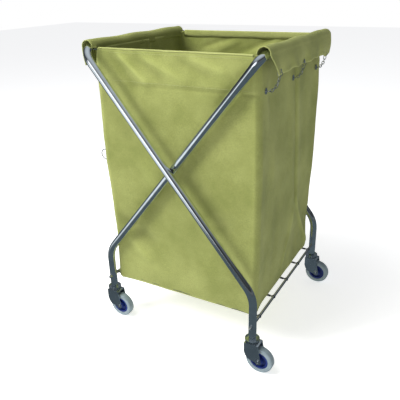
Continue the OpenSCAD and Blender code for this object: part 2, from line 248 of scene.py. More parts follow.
def rubber_material(name, dark, light):
    mat, tree, bsdf = new_material(name, light, roughness=0.55)
    coords = object_coords(tree)
    dust = noise_node(tree, coords, 38.0, 5.0, 0.65)
    color = ramp(tree, dust, dark, light, 0.32, 0.68)
    pale = tuple(min(1.0, 1.3 * c) for c in light)
    tree.links.new(edge_wear(tree, color, pale, 0.5), bsdf.inputs["Base Color"])
    bump(tree, bsdf, noise_node(tree, coords, 900.0, 2.0), 0.15, 0.0004)
    return mat


def plastic_material(name, color, roughness, grain):
    """Moulded plastic: a fine spark grain and slight gloss changes."""
    mat, tree, bsdf = new_material(name, color, roughness=roughness)
    coords = object_coords(tree)
    gloss = noise_node(tree, coords, 60.0, 3.0)
    rough_by_noise(tree, bsdf, gloss, 0.18, roughness)
    deep = tuple(0.6 * c for c in color)
    tree.links.new(ramp(tree, gloss, deep, color, 0.3, 0.6), bsdf.inputs["Base Color"])
    bump(tree, bsdf, noise_node(tree, coords, grain, 2.0), 0.12, 0.0003)
    return mat


def braid_material(name, color):
    """Braided cord sheath: two crossing sets of strands."""
    mat, tree, bsdf = new_material(name, color, roughness=0.75)
    coords = object_coords(tree)
    split = split_xyz(tree, coords)
    strand = 2 * math.pi / BRAID_PITCH
    up = math_node(tree, "ADD", split.outputs["X"], split.outputs["Z"])
    down = math_node(tree, "SUBTRACT", split.outputs["X"], split.outputs["Z"])
    one = math_node(tree, "SINE", math_node(tree, "MULTIPLY", up, strand))
    two = math_node(tree, "SINE", math_node(tree, "MULTIPLY", down, strand))
    height = math_node(tree, "MAXIMUM", one, two)
    pale = tuple(2.2 * c for c in color)
    tree.links.new(ramp(tree, height, color, pale, 0.2, 0.9), bsdf.inputs["Base Color"])
    bump(tree, bsdf, height, 0.6, 0.0004)
    return mat


CANVAS_OUT = canvas_material("canvas", (0.235, 0.262, 0.074), (0.320, 0.345, 0.112))
CANVAS_TRIM = canvas_material("canvas_trim", (0.262, 0.288, 0.088), (0.350, 0.372, 0.132))
THREAD_MAT = plastic_material("sewing_thread", (0.45, 0.47, 0.24), 0.6, 1500.0)
TUBE_CHROME = chrome_material("tube_chrome", (0.80, 0.85, 0.88), 0.07, 0.08)
SMALL_PLATE = chrome_material("small_plate", (0.70, 0.72, 0.74), 0.16, 0.12)
CASTER_CHROME = chrome_material("caster_chrome", (0.60, 0.66, 0.71), 0.15, 0.14)
DARK_WIRE = chrome_material("dark_wire", (0.20, 0.21, 0.23), 0.30, 0.15)
TYRE_RUBBER = rubber_material("tyre_rubber", (0.190, 0.245, 0.270), (0.270, 0.335, 0.360))
HUB_PLASTIC = plastic_material("hub_plastic", (0.014, 0.034, 0.215), 0.28, 1200.0)
NYLON = plastic_material("nylon", (0.045, 0.048, 0.050), 0.5, 900.0)
CORD_BRAID = braid_material("cord_braid", (0.035, 0.038, 0.040))

SLOT_MATERIALS = {
    "chrome_tube": TUBE_CHROME,
    "plated_steel": SMALL_PLATE,
    "caster_steel": CASTER_CHROME,
    "dark_wire": DARK_WIRE,
    "nylon": NYLON,
    "elastic_cord": CORD_BRAID,
    "canvas": CANVAS_OUT,
    "base_board": CANVAS_TRIM,
    "hub_blue": HUB_PLASTIC,
    "tyre_grey": TYRE_RUBBER,
}

# ---------------------------------------------------------------- mesh helpers


def mesh_piece(name, verts, faces, material):
    mesh = bpy.data.meshes.new(name)
    mesh.from_pydata([tuple(map(float, v)) for v in verts], [], faces)
    mesh.validate()
    mesh.update()
    mesh.materials.append(material)
    for p in mesh.polygons:
        p.use_smooth = True
    piece = bpy.data.objects.new(name, mesh)
    bpy.context.scene.collection.objects.link(piece)
    return piece


def grid_faces(rows, cols, close_cols=False):
    """Quads of a grid stored row by row; close_cols joins the last column to the first."""
    faces = []
    span = cols if close_cols else cols - 1
    for r in range(rows - 1):
        for c in range(span):
            d = (c + 1) % cols
            faces.append((r * cols + c, r * cols + d, (r + 1) * cols + d, (r + 1) * cols + c))
    return faces


def thicken(piece, thickness, offset=-1.0):
    m = piece.modifiers.new("thickness", "SOLIDIFY")
    m.thickness = thickness
    m.offset = offset
    m.use_even_offset = True


WELD_DISTANCE = 1e-6
BEVEL_WIDTH = 0.0005


def weld_twins(piece):
    """Joins the doubled vertices of a mesh that came from the CAD."""
    piece.modifiers.new("weld", "WELD").merge_threshold = WELD_DISTANCE


def round_edges(piece):
    """Small rounded edges on pressed and turned parts."""
    bevel = piece.modifiers.new("bevel", "BEVEL")
    bevel.width = BEVEL_WIDTH
    bevel.segments = 2
    bevel.limit_method = "ANGLE"
    bevel.angle_limit = math.radians(40)


def smooth_by_angle(piece, angle=35):
    """Splits edges sharper than the angle, so that round parts shade smoothly."""
    m = piece.modifiers.new("split", "EDGE_SPLIT")
    m.split_angle = math.radians(angle)
    m.use_edge_sharp = False


def node_clusters(node_name, side=0, gap=0.03):
    """Low and high corners of the separate solids of a CAD node, sorted by Y, on one side of
    the trolley or, if side is 0, with both sides together."""
    vertices = frame["nodes"][node_name].data.vertices
    cos = sorted((v.co for v in vertices if not side or v.co.x * side > 0), key=lambda c: c.y)
    groups = [[cos[0]]]
    for c in cos[1:]:
        if c.y - groups[-1][-1].y > gap:
            groups.append([])
        groups[-1].append(c)
    return [(Vector(map(min, zip(*g))), Vector(map(max, zip(*g)))) for g in groups]


def tube_along(points, radius, sides=10, closed=True):
    """Vertices and faces of a round wire along a path; an open wire gets rounded ends."""
    points = [Vector(p) for p in points]
    count = len(points)
    verts, faces = [], []
    side = None
    for i, p in enumerate(points):
        ahead = points[(i + 1) % count] if closed or i + 1 < count else p
        behind = points[i - 1] if closed or i else p
        t = (ahead - behind).normalized()
        if side is None:
            side = t.orthogonal().normalized()
        side = (side - t * side.dot(t)).normalized()
        other = t.cross(side)
        for k in range(sides):
            a = 2 * math.pi * k / sides
            verts.append(p + radius * (math.cos(a) * side + math.sin(a) * other))
    rings = count if closed else count - 1
    for i in range(rings):
        j = (i + 1) % count
        for k in range(sides):
            m = (k + 1) % sides
            faces.append((i * sides + k, i * sides + m, j * sides + m, j * sides + k))
    if not closed:
        faces.append(tuple(range(sides))[::-1])
        faces.append(tuple((count - 1) * sides + k for k in range(sides)))
    return verts, faces


def join_parts(parts):
    """Several (verts, faces) as one."""
    verts, faces = [], []
    for v, f in parts:
        base = len(verts)
        verts.extend(v)
        faces.extend(tuple(base + i for i in face) for face in f)
    return verts, faces


def smoothstep(t):
    t = np.clip(t, 0, 1)
    return t * t * (3 - 2 * t)


# ---------------------------------------------------------------- bag walls

HEM = 0.013                 # height of the turned hem on the outside
HEM_T_OUT = 0.0010          # how far the hem stands out
BAND_Z = TOP_Z - 0.098      # lower seam of the reinforced band
BAND_T = 0.0018
SEAM_X = HALF_X - 0.022     # upright seams beside the corners
SEAM_LAP = 0.0055           # half width of the felled lap beside an upright seam
TUCK = 0.010                # height over which the cloth turns in at the lower edge
REAR_FULLNESS = 0.0045      # the rear panel's upper part leans out this far
GATHER_Y = 0.19             # the side panels gather a little beside the corners


def crease(u, z, start, end, width, depth):
    """A soft ridge, or a groove if depth is negative, along a line that fades at both ends."""
    (u0, z0), (u1, z1) = start, end
    du, dz = u1 - u0, z1 - z0
    length = math.hypot(du, dz)
    t = ((u - u0) * du + (z - z0) * dz) / length**2
    across = ((u - u0) * dz - (z - z0) * du) / length
    fade = smoothstep((t + 0.12) / 0.3) * smoothstep((1.12 - t) / 0.3)
    return depth * np.exp(-((across / width) ** 2)) * fade


def seam(d, width, depth):
    """Groove across a stitched line; d is the distance from it."""
    return -depth * np.exp(-((d / width) ** 2))


def cloud(points, scale, seed):
    """Smooth noise at each point; the seed picks a place in the noise, the same each run."""
    return np.array([noise.noise(Vector(p) * scale + Vector((seed, 0, 0))) for p in points])


# creases: start and end as (place along the wall, height), half width, depth
FRONT_CREASES = [
    ((-0.185, TOP_Z - 0.012), (-0.080, TOP_Z - 0.100), 0.009, 0.0080),
    ((-0.215, TOP_Z - 0.020), (-0.125, TOP_Z - 0.115), 0.013, -0.0062),
    ((-0.130, TOP_Z - 0.020), (-0.020, TOP_Z - 0.095), 0.015, -0.0052),
    ((-0.100, TOP_Z - 0.016), (0.045, TOP_Z - 0.080), 0.013, 0.0050),
    ((0.020, TOP_Z - 0.022), (0.130, TOP_Z - 0.070), 0.012, -0.0042),
    ((0.060, TOP_Z - 0.014), (0.175, TOP_Z - 0.052), 0.011, 0.0040),
    ((0.245, TOP_Z - 0.030), (0.140, TOP_Z - 0.150), 0.018, -0.0046),
    ((-0.250, TOP_Z - 0.120), (-0.120, TOP_Z - 0.330), 0.028, -0.0048),
    ((-0.240, 0.395), (-0.090, 0.330), 0.024, -0.0056),
    ((-0.225, 0.350), (-0.120, 0.255), 0.020, 0.0048),
    ((0.040, 0.600), (0.180, 0.420), 0.028, -0.0056),
    ((0.150, 0.380), (0.235, 0.240), 0.022, -0.0050),
    ((-0.150, 0.700), (-0.060, 0.480), 0.032, 0.0040),
]
SIDE_CREASES = [
    ((0.085, 0.440), (0.236, 0.190), 0.010, 0.0062),
    ((0.125, 0.420), (0.238, 0.270), 0.030, -0.0038),
    ((0.080, 0.430), (-0.020, 0.210), 0.014, 0.0040),
    ((0.100, 0.330), (0.110, 0.190), 0.036, -0.0046),
    ((-0.215, TOP_Z - 0.050), (-0.120, 0.560), 0.024, 0.0030),
    ((-0.175, TOP_Z - 0.080), (-0.150, 0.620), 0.016, -0.0026),
    ((-0.080, 0.500), (-0.110, 0.240), 0.024, -0.0024),
    ((0.150, TOP_Z - 0.100), (0.170, 0.480), 0.026, 0.0022),
]
# soft swellings of the front and rear panels: x, z, half width, half height, depth
SWELLINGS = [(-0.12, 0.255, 0.11, 0.07, 0.0030), (0.14, 0.300, 0.10, 0.09, 0.0026)]


def creases(u, z, table):
    return sum(crease(u, z, *row) for row in table)


def front_relief(x, z):
    """Outward relief of the front panel: tension folds from the hanging corners, hem, band."""
    d = creases(x, z, FRONT_CREASES)
    for cx, cz, wide, tall, depth in SWELLINGS:
        d += depth * np.exp(-(((x - cx) / wide) ** 2) - ((z - cz) / tall) ** 2)
    layer = smoothstep((z - BAND_Z) / 0.003 + 0.5)
    band_shown = smoothstep((x + 0.17) / 0.08)
    d += BAND_T * layer + seam(z - BAND_Z + 0.002, 0.0030, 0.0030) * band_shown
    for s in (-1, 1):
        felled = np.exp(-(((x - s * (SEAM_X + 0.004)) / SEAM_LAP) ** 4))
        d += 0.0011 * felled + seam(x - s * (SEAM_X - 0.002), 0.0018, 0.0009)
    return d * smoothstep((HALF_X - np.abs(x)) / 0.02 + 0.3)


def side_relief(y, z, side):
    """Outward relief of a side panel: the storage fold down the middle and shallow drapes."""
    fold_y = 0.020 + 0.11 * (TOP_Z - z)
    high = smoothstep((z - 0.36) / 0.10)
    d = -0.0048 * high * np.exp(-(((y - fold_y) / 0.006) ** 2))
    d += 0.0034 * high * np.exp(-(((y - fold_y - 0.024) / 0.018) ** 2))
    d += 0.0018 * np.exp(-(((y - fold_y + 0.034) / 0.026) ** 2))
    d += creases(y, z, SIDE_CREASES)
    for s in (-1, 1):
        gather = np.exp(-(((y - s * GATHER_Y) / 0.020) ** 2)) * smoothstep((z - 0.80) / 0.1)
        d -= 0.0014 * s * side * gather
    return d


def bulge(u, half, z):
    """Slack cloth swells a little between its edges, most in the lower half."""
    across = np.clip(1 - (u / half) ** 2, 0, 1)
    height = np.clip((z - BAG_Z) / (TOP_Z - BAG_Z), 0, 1)
    return across * np.sin(math.pi * height**0.75)


def facing(nx, ny):
    """How far a place on the bag belongs to the front, to the rear and to a side, from 0 to 1."""
    return np.clip(-ny, 0, 1) ** 2, np.clip(ny, 0, 1) ** 2, nx**2


def wall_offset(x, y, nx, ny, z):
    """Outward distance of the cloth from the nominal wall."""
    front, rear, side = facing(nx, ny)
    points = np.stack([x, y, z], 1)
    d = 0.0022 * cloud(points, 7.0, 3.1) + 0.0010 * cloud(points, 21.0, 9.7)
    d += front * (front_relief(x, z) - 0.0016 + 0.0015 * bulge(x, HALF_X, z))
    d += rear * (front_relief(-x, z) - 0.0016 + 0.0015 * bulge(x, HALF_X, z))
    d += rear * REAR_FULLNESS * smoothstep((z - 0.84) / 0.10)
    left_right = np.where(nx > 0, 1.0, -1.0)
    d += side * (side_relief(y, z, left_right) - 0.0015 + 0.0050 * bulge(y, HALF_Y, z))
    fold = z - upper_edge(ny) + HEM
    hem = smoothstep(fold / 0.002 + 0.5)
    d += (front + rear) * (HEM_T_OUT * hem + seam(fold - 0.003, 0.0016, 0.0008))
    tuck = np.clip(1 - (z - lower_edge(x, y)) / TUCK, 0, 1)
    return d - 0.006 * (1 - np.sqrt(1 - 0.92 * tuck**2))


def perimeter(step):
    """Points and outward normals round the plan of the bag, as an array of x, y, nx, ny."""
    straight_x, straight_y = HALF_X - CORNER_R, HALF_Y - CORNER_R
    rows = []
    corners = [(1, -1, -90), (1, 1, 0), (-1, 1, 90), (-1, -1, 180)]
    for i, (sx, sy, start) in enumerate(corners):
        for k in range(9):
            a = math.radians(start + 90 * k / 8)
            n = (math.cos(a), math.sin(a))
            rows.append((sx * straight_x + CORNER_R * n[0], sy * straight_y + CORNER_R * n[1], *n))
        along = math.radians(start + 90)
        nx, ny = round(math.cos(along)), round(math.sin(along))
        length = 2 * (straight_y if i % 2 == 0 else straight_x)
        count = int(length / step)
        x, y = rows[-1][:2]
        for k in range(1, count):
            t = length * k / count
            rows.append((x - ny * t, y + nx * t, nx, ny))
    return np.array(rows)


def lower_edge(x, y):
    """The lower edge hangs in front of the first cord and is drawn up at the rear."""
    front = BAG_Z - 0.020 + 0.010 * (x + HALF_X) / (2 * HALF_X)
    places = np.array([-0.250, -0.242, -0.200, -0.118, 0.0, 0.236, 0.250])
    shares = np.array([1.0, 1.0, 0.22, 0.0, 0.0, 0.0, 0.0])
    lifts = np.array([0.0, 0.0, 0.0, -0.001, 0.0, 0.009, 0.009])
    share = np.interp(y, places, shares)
    return front * share + (BAG_Z + np.interp(y, places, lifts)) * (1 - share)


REAR_RISE = 0.008


def upper_edge(ny):
    """The rear edge of the mouth stands a little higher than the front one."""
    return TOP_Z + REAR_RISE * np.clip(ny, 0, 1) ** 2


# how far the sewn corners stand out along X and Y, in millimetres, by height
FLARE_Z = [0.15, 0.20, 0.33, 0.42, 0.52, 0.60, 0.69, 0.79, 0.88, 0.93, 0.945, 0.955, 0.965]
FLARES = {
    (-1, -1): ([9, 8, 4, 6, 9, 13, 14, 15, 15, 13, 11, 5, 2],
               [5, 4, 2, 3, 5, 7, 7, 6, 5, 4, 4, 3, 3]),
    (1, -1): ([6, 7, 10, 11, 11, 11, 10, 7, 3, 1, 1, 1, 1],
              [3, 2, 2, 2, 2, 2, 2, 2, 2, 3, 3, 3, 3]),
    (1, 1): ([5, 5, 6, 7, 11, 12, 12, 13, 12, 5, 4, 3, 2],
             [5, 5, 6, 7, 11, 13, 13, 14, 11, 6, 5, 5, 4]),
    (-1, 1): ([6, 6, 7, 8, 8, 8, 8, 8, 6, 3, 3, 2, 2],
              [5, 5, 6, 7, 8, 8, 8, 8, 6, 4, 4, 4, 4]),
}
FLARE_REACH = 0.045


def flare(x, y, z):
    dx, dy = np.zeros_like(x), np.zeros_like(y)
    for (sx, sy), (out_x, out_y) in FLARES.items():
        away = (x - sx * HALF_X) ** 2 + (y - sy * HALF_Y) ** 2
        near = np.exp(-away / FLARE_REACH**2)
        dx += sx * near * np.interp(z, FLARE_Z, out_x) / 1000
        dy += sy * near * np.interp(z, FLARE_Z, out_y) / 1000
    return dx, dy


def wall_points(x, y, nx, ny, z):
    d = wall_offset(x, y, nx, ny, z)
    dx, dy = flare(x, y, z)
    return np.stack([x + nx * d + dx, y + ny * d + dy, z], 1)


@functools.cache
def wall_shift(side, y, z):
    """How far the side panel stands out from its nominal plane at a place."""
    one = np.array([1.0])
    point = wall_points(side * HALF_X * one, y * one, side * one, 0 * one, z * one)[0]
    return point[0] - side * HALF_X


def relief_shade(x, y, nx, ny, z):
    """Painted shade in the grooves and painted highlight on the ridges, from the relief's depth."""
    front, rear, side = facing(nx, ny)
    d = front * front_relief(x, z) + rear * front_relief(-x, z)
    d += side * side_relief(y, z, np.sign(nx))
    return np.clip(26 * d, -0.22, 0.20)


def set_shade(piece, values):
    layer = piece.data.attributes.new("shade", "FLOAT", "POINT")
    layer.data.foreach_set("value", np.asarray(values, np.float32))


WALL_STEP = 0.0065          # spacing of the wall's vertices round the plan
WALL_ROWS = 150
BOTTOM_RINGS = 24
# inset of each ring that turns up behind the walls, and its share of the way up to the panel
BOTTOM_TURN = ((0.0, 0.0), (0.0018, 0.0), (0.0028, 0.35), (0.0034, 0.8), (0.0050, 1.0))
CORD_PITCH = 0.118
CORD_SAG = 0.0016


def build_walls():
    ring = perimeter(WALL_STEP)
    verts, shades = [], []
    low, high = lower_edge(ring[:, 0], ring[:, 1]), upper_edge(ring[:, 3])
    for r in range(WALL_ROWS):
        z = low + (high - low) * r / (WALL_ROWS - 1)
        verts.append(wall_points(*ring.T, z))
        shades.append(relief_shade(*ring.T, z))
    faces = grid_faces(WALL_ROWS, len(ring), True)
    walls = mesh_piece("bag_walls", np.concatenate(verts), faces, CANVAS_OUT)
    # the relief's painted shade and painted highlight, carried to the canvas colour
    set_shade(walls, np.concatenate(shades))
    thicken(walls, CLOTH_T)
    put_on_bag(walls, cad_name="bag_body")
    return verts[0], ring[:, 2:]


def build_bottom(edge, normals):
    """Bottom panel: it turns up behind the walls' lower edge and sags between the cords."""
    verts = []
    for inset, lift in BOTTOM_TURN:
        ring = edge.copy()
        ring[:, :2] -= normals * inset
        ring[:, 2] += (BAG_Z + 0.0012 - edge[:, 2]) * lift
        verts.append(ring)
    rim = verts[-1]
    for r in range(1, BOTTOM_RINGS):
        t = r / (BOTTOM_RINGS - 1)
        ring = rim.copy()
        ring[:, :2] *= 1 - t * 0.995
        sag = np.cos(2 * math.pi * ring[:, 1] / CORD_PITCH) * smoothstep(t * 6)
        ring[:, 2] -= CORD_SAG * sag
        verts.append(ring)
    faces = [f[::-1] for f in grid_faces(len(verts), len(edge), True)]
    bottom = mesh_piece("bag_bottom", np.concatenate(verts), faces, CANVAS_OUT)
    thicken(bottom, CLOTH_T)
    put_on_bag(bottom, cad_name="bag_body")


BOARD_LIP = 0.004
BOARD_SIDES = 160
BOARD_POWER = 0.18          # squareness of the board's plan: 0 is a rectangle, 1 an ellipse
BOARD_PROFILE = [           # outwards and upwards from the foot of the board's edge
    (0.0, 0.0), (0.0035, 0.0006), (BOARD_LIP, 0.002), (0.0035, 0.0034), (0.0, 0.004),
    (-0.02, 0.0045), (-0.10, 0.0050), (-0.17, 0.0052)]


def build_board():
    """Canvas-covered stiffening board: a crowned pad with rounded edges, lying on the bottom."""
    low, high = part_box("bag_base")
    verts = []
    for out, up in BOARD_PROFILE:
        for k in range(BOARD_SIDES):
            a = 2 * math.pi * k / BOARD_SIDES
            c, s = math.cos(a), math.sin(a)
            x = math.copysign(abs(c) ** BOARD_POWER, c) * (high.x - BOARD_LIP + out)
            y = math.copysign(abs(s) ** BOARD_POWER, s) * (high.y - BOARD_LIP + out)
            uneven = 0.0004 * noise.noise(Vector((x * 30, y * 30, 0)))
            verts.append((x, y, low.z + up + uneven))
    rings = len(BOARD_PROFILE)
    faces = grid_faces(rings, BOARD_SIDES, True)
    faces.append(tuple(range(BOARD_SIDES))[::-1])
    faces.append(tuple((rings - 1) * BOARD_SIDES + k for k in range(BOARD_SIDES)))
    board = mesh_piece("base_board", verts, faces, CANVAS_TRIM)
    put_on_bag(board, cad_name="bag_base")


HEM_STATIONS = 110
HEM_PROFILE = [             # outwards and upwards from the wall's upper edge
    (-0.0045, -0.020), (-0.0045, -0.010), (-0.0045, -0.001), (-0.0038, 0.0010),
    (-0.0022, 0.0019), (-0.0006, 0.0016), (0.0004, 0.0004), (0.0006, -0.0012)]


def build_hems():
    """Turned hems: a folded strip over the front and rear edges of the mouth."""
    parts = []
    half = HALF_X - CORNER_R + 0.004
    xs = np.linspace(-half, half, HEM_STATIONS)
    for sy in (-1, 1):
        verts = []
        n = np.zeros_like(xs)
        top = upper_edge(n + sy)
        rim = wall_points(xs, n + sy * HALF_Y, n, n + sy, top)
        for out, up in HEM_PROFILE:
            wave = 0.0006 * np.sin(xs * 46 + sy) * (up < 0)
            verts.extend(np.stack([rim[:, 0], rim[:, 1] + sy * out, top + up + wave], 1))
        faces = grid_faces(len(HEM_PROFILE), len(xs))
        parts.append((verts, faces if sy > 0 else [f[::-1] for f in faces]))
    verts, faces = join_parts(parts)
    hems = mesh_piece("mouth_hems", verts, faces, CANVAS_TRIM)
    thicken(hems, 0.0010, 1.0)
    put_on_bag(hems, cad_name="top_hems")


# ---------------------------------------------------------------- flaps

FLAP_R = 0.0172             # inside radius of the cloth over the bar
FLAP_HEM = 0.012
HEM_T = FLAP_HEM / (BAR_Z - FLAP_LOW_Z)     # the hem in units of t, as flap_point takes it
FLAP_ROWS = ([-0.26, -0.19, -0.12, -0.06] + [i / 16 for i in range(17)]
             + [1 + (i + 1) / 26 for i in range(26)])
FLAP_COLS = 150
LAP_SCALE = 0.06            # metres of lap for one unit of negative t
EYE_PULL = 0.030            # how far along the flap an eyelet draws it down
PANEL_END_Y = 0.238         # where the side panel ends, beside the corners


def flap_point(side, t, y):
    """A point of the flap and its outward normal. t runs over the cloth: 0 at the side panel,
    1 where it has passed over the bar, 2 at the lower edge. y is 0 to 1 from front to rear."""
    wave = 0.0022 * math.sin(21 * y + 1.7 * side) + 0.0015 * math.sin(47 * y + side)
    s = max(0.0, t - 1)
    front_cut = -0.256 + 0.050 * s**1.2 if side > 0 else -0.262 + 0.008 * s
    rear_cut = 0.252 - 0.006 * s
    place = front_cut + (rear_cut - front_cut) * y
    if t <= 1:
        a = math.pi * (1 - t)
        r = FLAP_R + 0.0012 * math.sin(a) * (1 + math.sin(17 * y))
        x = BAR_X - r * math.cos(a + math.pi)
        z = BAR_Z + r * math.sin(a)
        n = (math.cos(a), math.sin(a))
    else:
        drop = BAR_Z - FLAP_LOW_Z - 0.004 * math.sin(math.pi * y)
        belly = 0.0035 * math.sin(math.pi * s)
        pull = sum(math.exp(-(((place - e) / EYE_PULL) ** 2)) for e in EYE_Y)
        x = BAR_X + FLAP_R + belly + wave * s + (0.004 - 0.006 * pull) * s * s
        z = BAR_Z - drop * s - 0.0040 * s * pull + 0.0016 * s * math.sin(33 * y)
        n = (1, 0)
    return Vector((side * x, place, z)), Vector((side * n[0], 0, n[1]))


EYE_Y = [(low.y + high.y) / 2 for low, high in node_clusters("flap_eyelets")]


def build_flap(side, name, cad_name):
    verts = []
    for t in FLAP_ROWS:
        for k in range(FLAP_COLS):
            p, n = flap_point(side, max(t, 0), k / (FLAP_COLS - 1))
            if t < 0:           # the lap that is sewn to the side panel
                p += Vector((side * 0.0004, 0, t * LAP_SCALE))
                p.y = math.copysign(min(abs(p.y), PANEL_END_Y), p.y)
            layered = smoothstep((t - 2 + HEM_T) / 0.03 + 0.5)
            end_layer = smoothstep((abs(p.y) - PANEL_END_Y) / 0.002 + 0.5)
            lift = 0.0009 * float(max(layered, 0.7 * end_layer))
            lift += float(seam(t - 2 + HEM_T - 0.05, 0.035, 0.0005))
            verts.append(p + n * lift)
    faces = grid_faces(len(FLAP_ROWS), FLAP_COLS)
    if side < 0:
        faces = [f[::-1] for f in faces]
    flap = mesh_piece(name, verts, faces, CANVAS_OUT)
    thicken(flap, CLOTH_T)
    put_on_bag(flap, side, cad_name)


# ---------------------------------------------------------------- stitches


THREAD_R = 0.00038
STITCH_PITCH = 0.0055
STITCH_LENGTH = 0.0036
STITCH_STEP = 0.0011        # spacing of the samples along a row


def stitch(a, b, out):
    """One stitch: a short thread that stands a little proud between two points."""
    mid = (a + b) / 2 + out * 0.0003
    shoulders = [end * 0.6 + mid * 0.4 + out * 0.0001 for end in (a, b)]
    return tube_along([a, shoulders[0], mid, shoulders[1], b], THREAD_R, 5, closed=False)


def stitch_row(path):
    """Stitches along a list of (point, outward) samples."""
    parts = []
    travelled = 0.0
    for (p, n), (q, _) in zip(path, path[1:]):
        travelled += (q - p).length
        if travelled >= STITCH_PITCH:
            travelled = 0.0
            d = (q - p).normalized() * STITCH_LENGTH / 2
            parts.append(stitch(p - d, p + d, n))
    return parts


def wall_path(samples):
    """(point, outward) on the cloth for a list of (x, y, nx, ny, z)."""
    a = np.array(samples, float)
    points = wall_points(a[:, 0], a[:, 1], a[:, 2], a[:, 3], a[:, 4])
    return [(Vector(p), Vector((row[2], row[3], 0))) for p, row in zip(points, a)]


ROW_CLEAR = 0.05            # the rows stop short of the corner that the folded inner tube reaches


def build_stitches(name, parts, side=0):
    verts, faces = join_parts(parts)
    put_on_bag(mesh_piece(name, verts, faces, THREAD_MAT), side)


def build_wall_stitches():
    xs = np.arange(-HALF_X + ROW_CLEAR, HALF_X - CORNER_R, STITCH_STEP)
    zs = np.arange(BAG_Z + 0.02, TOP_Z - 0.004, STITCH_STEP)
    parts = []
    for sy in (-1, 1):
        for z in (TOP_Z - HEM + 0.0028, BAND_Z + 0.006):
            parts += stitch_row(wall_path([(x, sy * HALF_Y, 0, sy, z) for x in xs]))
        for sx in (-1, 1):
            x = sx * (SEAM_X - 0.002)
            parts += stitch_row(wall_path([(x, sy * HALF_Y, 0, sy, z) for z in zs]))
    build_stitches("wall_stitches", parts)


def flap_path(side, samples, lift):
    """(point, outward) a little above the flap for a list of (t, y)."""
    points = [flap_point(side, t, y) for t, y in samples]
    return [(p + n * lift, n) for p, n in points]


def build_flap_stitches(side, name):
    along, down = 439, 159
    t = 2 - HEM_T + 0.05
    parts = stitch_row(flap_path(side, [(t, k / along) for k in range(along + 1)], 0.0004))
    for y in (0.012, 0.988):
        edge = [(0.1 + 1.85 * k / down, y) for k in range(down + 1)]
        parts += stitch_row(flap_path(side, edge, 0.0005))
    build_stitches(name, parts, side)


# ---------------------------------------------------------------- chains and rings


def one_side_of(node_name, side, name, material, place=None):
    """A new piece from the half of a CAD node on one side of the trolley. place(co) gives the
    Y and Z where a vertex holds on to the side panel, which stands out a little."""
    source = frame["nodes"][node_name].data
    keep = {}
    verts = []
    for v in source.vertices:
        if v.co.x * side > 0:
            keep[v.index] = len(verts)
            co = v.co.copy()
            if place:
                co.x += wall_shift(side, *place(co))
            verts.append(co)
    faces = [tuple(keep[i] for i in p.vertices) for p in source.polygons
             if all(i in keep for i in p.vertices)]
    piece = mesh_piece(name, verts, faces, material)
    weld_twins(piece)
    smooth_by_angle(piece)
    put_on_bag(piece, side, node_name)


def oval(length, width, count=28):
    """A stadium-like closed path in the XZ plane."""
    points = []
    for k in range(count):
        a = 2 * math.pi * k / count
        c, s = math.cos(a), math.sin(a)
        x = width / 2 * math.copysign(abs(c) ** 0.8, c)
        z = length / 2 * math.copysign(abs(s) ** 0.8, s)
        points.append(Vector((x, 0, z)))
    return points


WIRE = 0.0021
LINKS = 6
LINK_WIDTH = 0.0078
LONG_CHAIN = 0.045          # a chain longer than this hangs with the deeper sag


def build_chains(side, name, cad_name):
    """Oval links between the ring in the flap and the wire eye on the side panel."""
    parts = []
    rings = node_clusters("flap_rings", side)
    eyes = node_clusters("panel_loops", side)
    for (rlow, rhigh), (elow, ehigh) in zip(rings, eyes):
        top = (rlow + rhigh) / 2
        top.z = rlow.z + WIRE / 2
        eye_x = ehigh.x - 0.001 if side > 0 else elow.x + 0.001
        eye = Vector((eye_x, (elow.y + ehigh.y) / 2, (elow.z + ehigh.z) / 2))
        eye.x += wall_shift(side, eye.y, eye.z)
        sag = 0.010 if (eye - top).length > LONG_CHAIN else 0.006
        joints = [top.lerp(eye, i / LINKS) for i in range(LINKS + 1)]
        for i, p in enumerate(joints):
            share = i / LINKS
            p.z -= 4 * sag * share * (1 - share)
            p.x += side * 0.004 * math.sin(math.pi * share)
        for i, (a, b) in enumerate(zip(joints, joints[1:])):
            way = b - a
            turn = way.normalized().to_track_quat("Z", "Y").to_matrix()
            angle = 90 * (i + 1) + 10 * math.sin(3.1 * i + top.y * 40)
            twist = Matrix.Rotation(math.radians(angle), 3, "Z")
            shape = oval(way.length + WIRE + 0.0008, LINK_WIDTH)
            path = [(a + b) / 2 + turn @ twist @ p for p in shape]
            parts.append(tube_along(path, WIRE / 2, 10))
    verts, faces = join_parts(parts)
    chain = mesh_piece(name, verts, faces, SMALL_PLATE)
    put_on_bag(chain, side, cad_name)


PANEL_EYE_Y = [(low.y + high.y) / 2 for low, high in node_clusters("panel_loops", 1)]
PANEL_EYE_Z = middle("panel_loops").z
RING_PLACE = middle("side_ring").yz

# ---------------------------------------------------------------- cords


CORD_SIDES = 14
CORD_STATIONS = 200
COLLAR = 0.014              # length of the whipped collar at each end of a cord


def build_cords():
    """Braided elastic cords with a whipped collar at each end."""
    low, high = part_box("support_cords")
    radius = (high.z - low.z) / 2
    span = high.y - low.y - 2 * radius
    parts = []
    stations = np.linspace(low.x, high.x, CORD_STATIONS)
    for y in (low.y + radius + span * i / 4 for i in range(5)):
        path = [Vector((x, y, ROD_Z)) for x in stations]
        verts, faces = tube_along(path, radius, CORD_SIDES, closed=False)
        shaped = []
        for i, v in enumerate(verts):
            x = stations[i // CORD_SIDES]
            from_end = high.x - abs(x)
            collar = 1.0 + 0.22 * (from_end < COLLAR) - 0.18 * (abs(0.016 - from_end) < 0.002)
            turn = 2 * math.pi * (x / 0.009 + 3 * (i % CORD_SIDES) / CORD_SIDES)
            ripple = 1 + 0.035 * math.sin(turn)
            centre = Vector((x, y, ROD_Z))
            shaped.append(centre + (v - centre) * min(collar * ripple, 1.18))
        parts.append((shaped, faces))
    verts, faces = join_parts(parts)
    cords = mesh_piece("elastic_cords", verts, faces, CORD_BRAID)
    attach(cords, "cords")
    narrow(cords)
    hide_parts("support_cords")


# ---------------------------------------------------------------- build

